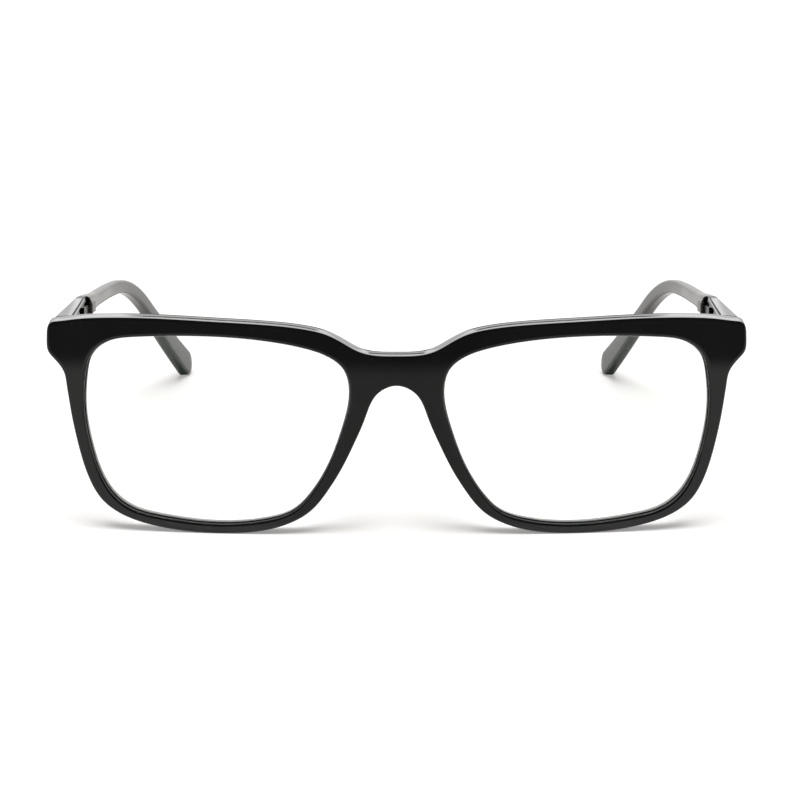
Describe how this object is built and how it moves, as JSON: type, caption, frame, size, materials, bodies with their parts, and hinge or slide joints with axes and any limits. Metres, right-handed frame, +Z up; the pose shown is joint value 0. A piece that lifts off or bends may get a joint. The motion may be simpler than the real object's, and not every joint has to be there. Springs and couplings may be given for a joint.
{
  "type": "eyeglasses",
  "caption": "Square full-rim eyeglasses with thick black acetate rims, clear curved lenses and slender temples that fold on pin hinges.",
  "frame": {"origin": "middle of the bounding box on the surface that the rims and the temple tips stand on, temples open", "axes": "+X to the viewer's right as the front is seen from outside, +Y from the front towards the temple tips, +Z up"},
  "size_m": [0.1392, 0.146, 0.0451],
  "materials": {
    "black_acetate": "polished",
    "clear_lens": "clear, polished and coated",
    "hinge_metal": "satin",
    "wire_metal": "drawn"
  },
  "bodies": {
    "front": {"front_frame": "black_acetate", "end_block_left": "black_acetate", "end_block_right": "black_acetate", "lens_left": "clear_lens", "lens_right": "clear_lens", "nose_pad_left": "black_acetate", "nose_pad_right": "black_acetate", "hinge_front_left": "hinge_metal", "hinge_front_right": "hinge_metal", "hinge_screw_left": "hinge_metal", "hinge_screw_right": "hinge_metal"},
    "temple_left_body": {"temple_left": "black_acetate", "hinge_temple_left": "hinge_metal", "core_wire_left": "wire_metal"},
    "temple_right_body": {"temple_right": "black_acetate", "hinge_temple_right": "hinge_metal", "core_wire_right": "wire_metal"}
  },
  "joints": [
    {"name": "temple_left_hinge", "type": "hinge", "parent": "front", "child": "temple_left_body", "pos_m": [-0.0633, -0.05039, 0.04239], "axis": [0, -0.1273, -0.9919], "range_deg": [0, 88]},
    {"name": "temple_right_hinge", "type": "hinge", "parent": "front", "child": "temple_right_body", "pos_m": [0.0633, -0.05039, 0.04239], "axis": [0, 0.1273, 0.9919], "range_deg": [0, 82]}
  ]
}
